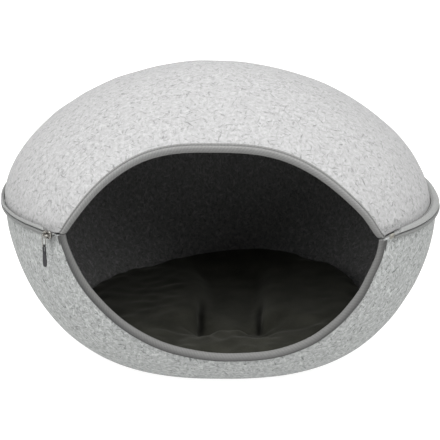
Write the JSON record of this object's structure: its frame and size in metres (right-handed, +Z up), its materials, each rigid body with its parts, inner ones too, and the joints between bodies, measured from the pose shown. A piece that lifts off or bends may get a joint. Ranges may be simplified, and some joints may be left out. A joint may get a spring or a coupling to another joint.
{
  "type": "felt cat cave",
  "caption": "Egg-shaped felt pet cave in two moulded halves zipped round the back, with a bound mouth at the front and a loose plush cushion inside.",
  "frame": {"origin": "centre of the flat base, on the floor", "axes": "+Z up, the mouth faces -Y, +X to the right of someone looking into the mouth"},
  "size_m": [0.4698, 0.3885, 0.3197],
  "materials": {
    "light_felt": "light grey melange needle felt with dark flecks",
    "dark_felt": "anthracite needle felt with black flecks",
    "ribbed_tape": "grey cross-ribbed woven tape",
    "zip_cloth": "light grey woven zip tape",
    "zip_teeth": "grey nylon coil",
    "tab_cloth": "folded pale tape",
    "nickel": "bright nickel plate on zinc",
    "gunmetal": "dark nickel plate on zinc",
    "plush": "near-black short pile plush"
  },
  "bodies": {
    "root": {"upper_shell": "light_felt", "lower_shell": "light_felt", "upper_lining": "dark_felt", "lower_lining": "dark_felt", "mouth_binding_upper": "ribbed_tape", "mouth_binding_lower": "ribbed_tape", "zip_tape_upper": "zip_cloth", "zip_tape_lower": "zip_cloth", "zip_chain": "zip_teeth", "zip_end_tab": "tab_cloth", "zip_slider": "nickel", "zip_link": "nickel", "zip_pull": "gunmetal", "cushion": "plush"}
  },
  "joints": []
}
